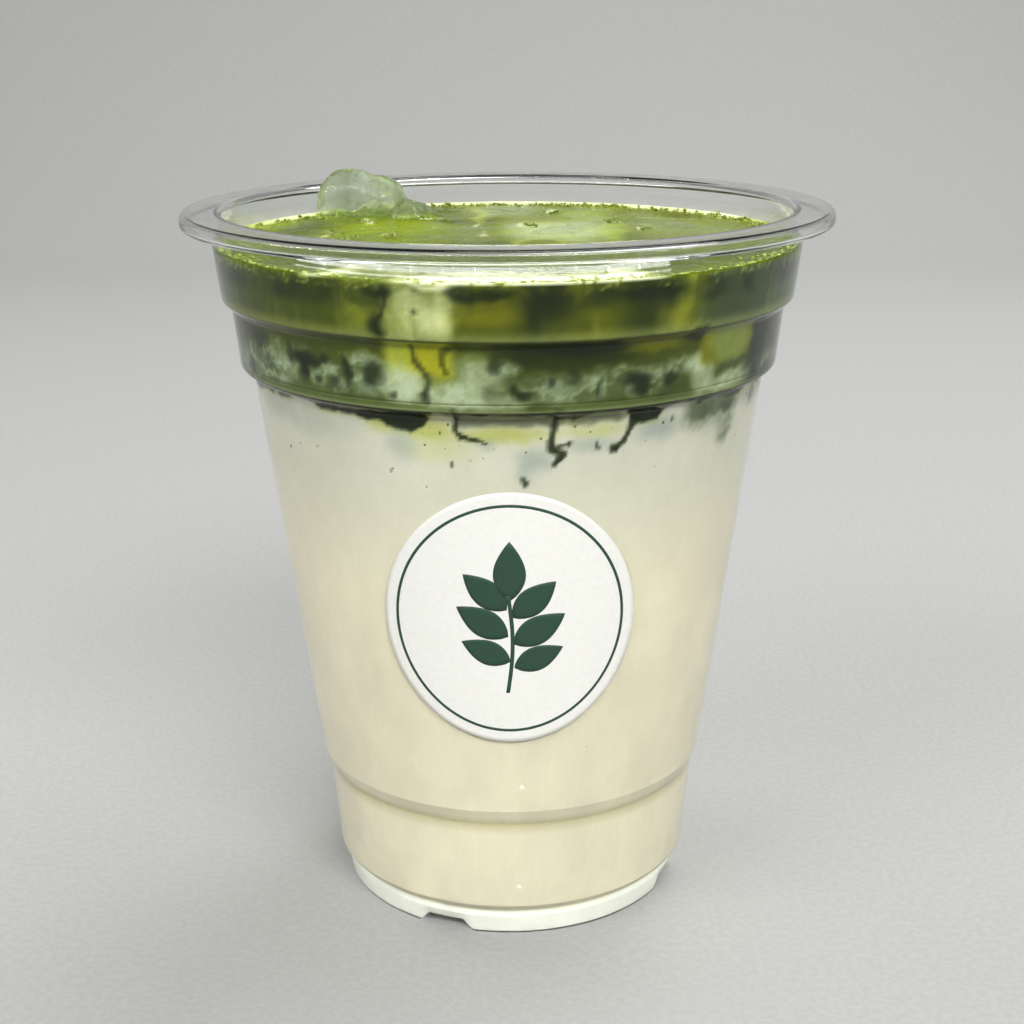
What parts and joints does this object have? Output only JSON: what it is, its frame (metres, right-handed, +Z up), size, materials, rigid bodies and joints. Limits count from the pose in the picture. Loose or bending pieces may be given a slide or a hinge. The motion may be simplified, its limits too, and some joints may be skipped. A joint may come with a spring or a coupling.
{
  "type": "iced latte in a clear cup",
  "caption": "Iced green tea latte in a clear stepped plastic cup, milk below and tea above, with ice and a round label.",
  "frame": {"origin": "centre of the ring that the cup stands on, at table height", "axes": "+Z up along the cup's axis, -Y towards the label"},
  "size_m": [0.098, 0.098, 0.1116],
  "materials": {
    "clear_plastic": "clear, polished",
    "milk": "opaque creamy liquid",
    "matcha": "deep green liquid, glossy on top",
    "ice": "wet, cloudy, melted smooth",
    "label_paper": "smooth white, matt"
  },
  "bodies": {
    "root": {"cup": "clear_plastic", "milk": "milk", "matcha": "matcha", "ice_peak": "ice", "ice_middle": "ice", "ice_back": "ice", "ice_right": "ice", "label": "label_paper"}
  },
  "joints": []
}
